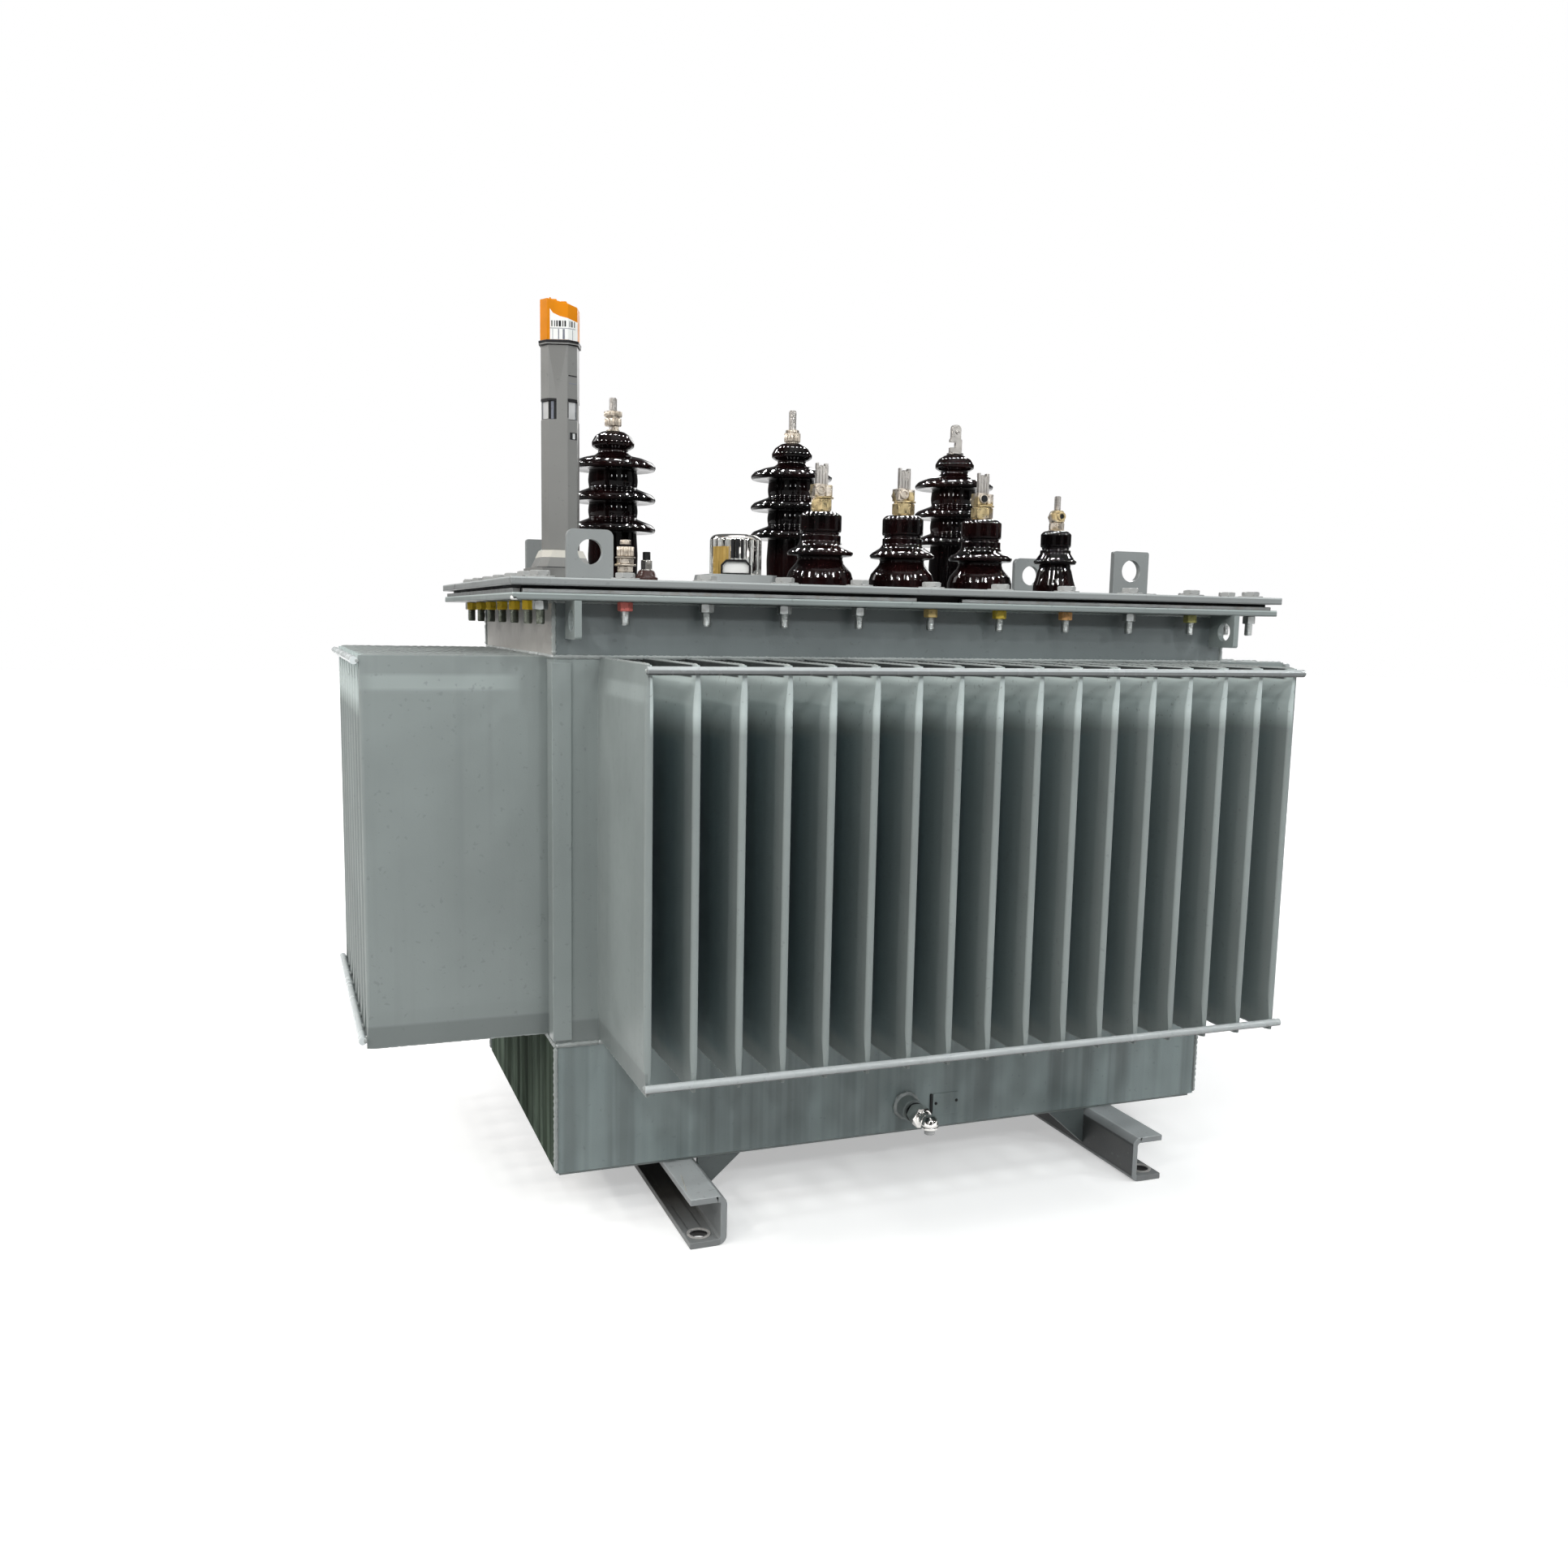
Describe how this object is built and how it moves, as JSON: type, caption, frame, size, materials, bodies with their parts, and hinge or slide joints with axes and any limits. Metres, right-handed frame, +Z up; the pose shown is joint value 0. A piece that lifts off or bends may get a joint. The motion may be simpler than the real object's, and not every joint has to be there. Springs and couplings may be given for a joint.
{
  "type": "oil-filled distribution transformer",
  "caption": "Oil-filled power transformer: corrugated fin tank on channel feet, bolted cover with porcelain bushings, lifting lugs, oil gauge, tap changer and drain valve.",
  "frame": {"origin": "centre of the four foot bolt holes, on the resting plane of the feet", "axes": "+X along the tank's long side, -Y to the low-voltage front with the drain valve, +Z up"},
  "size_m": [1.1516, 0.8296, 0.9985],
  "materials": {
    "tank_paint": "semi-gloss grey-green paint",
    "rod_paint": "semi-gloss grey-green paint",
    "cover_paint": "semi-gloss light grey paint",
    "gauge_paint": "satin grey paint",
    "gauge_orange": "smooth orange plastic",
    "porcelain": "glossy dark brown glaze",
    "stud_metal": "tin-plated copper, dull silver",
    "brass": "machined brass",
    "bright_metal": "bright nickel plating",
    "plug_brown": "dark brown moulding",
    "bar_steel": "bare light steel strip",
    "gasket": "black oil-proof rubber"
  },
  "bodies": {
    "root": {"bottom_plate": "tank_paint", "corner_posts": "tank_paint", "corrugated_wall_front": "tank_paint", "corrugated_wall_left": "tank_paint", "corrugated_wall_rear": "tank_paint", "corrugated_wall_right": "tank_paint", "cover": "cover_paint", "cover_gasket": "gasket", "cover_lug_front_left": "cover_paint", "cover_lug_front_right": "cover_paint", "cover_lug_rear_left": "cover_paint", "cover_lug_rear_right": "cover_paint", "drain_valve": "bright_metal", "filler_plug": "plug_brown", "fin_rods": "rod_paint", "foot_gussets": "tank_paint", "foot_left": "tank_paint", "foot_right": "tank_paint", "gasket_stop_bars": "bar_steel", "gauge_base": "gauge_paint", "gauge_cap": "gauge_orange", "gauge_tube": "gauge_paint", "hv_bushing_1": "porcelain", "hv_bushing_2": "porcelain", "hv_bushing_3": "porcelain", "hv_terminal_1": "stud_metal", "hv_terminal_2": "stud_metal", "hv_terminal_3": "stud_metal", "lv_bushing_1": "porcelain", "lv_bushing_2": "porcelain", "lv_bushing_3": "porcelain", "lv_terminal_1": "brass", "lv_terminal_2": "brass", "lv_terminal_3": "brass", "neutral_bushing": "porcelain", "neutral_terminal": "brass", "pan_wall_front": "tank_paint", "pan_wall_left": "tank_paint", "pan_wall_rear": "tank_paint", "pan_wall_right": "tank_paint", "rim_wall_front": "tank_paint", "rim_wall_left": "tank_paint", "rim_wall_rear": "tank_paint", "rim_wall_right": "tank_paint", "tank_flange": "tank_paint", "tank_lugs_front": "tank_paint", "tank_lugs_rear": "tank_paint", "tap_changer_cap": "bright_metal", "tap_changer_plate": "cover_paint"}
  },
  "joints": []
}
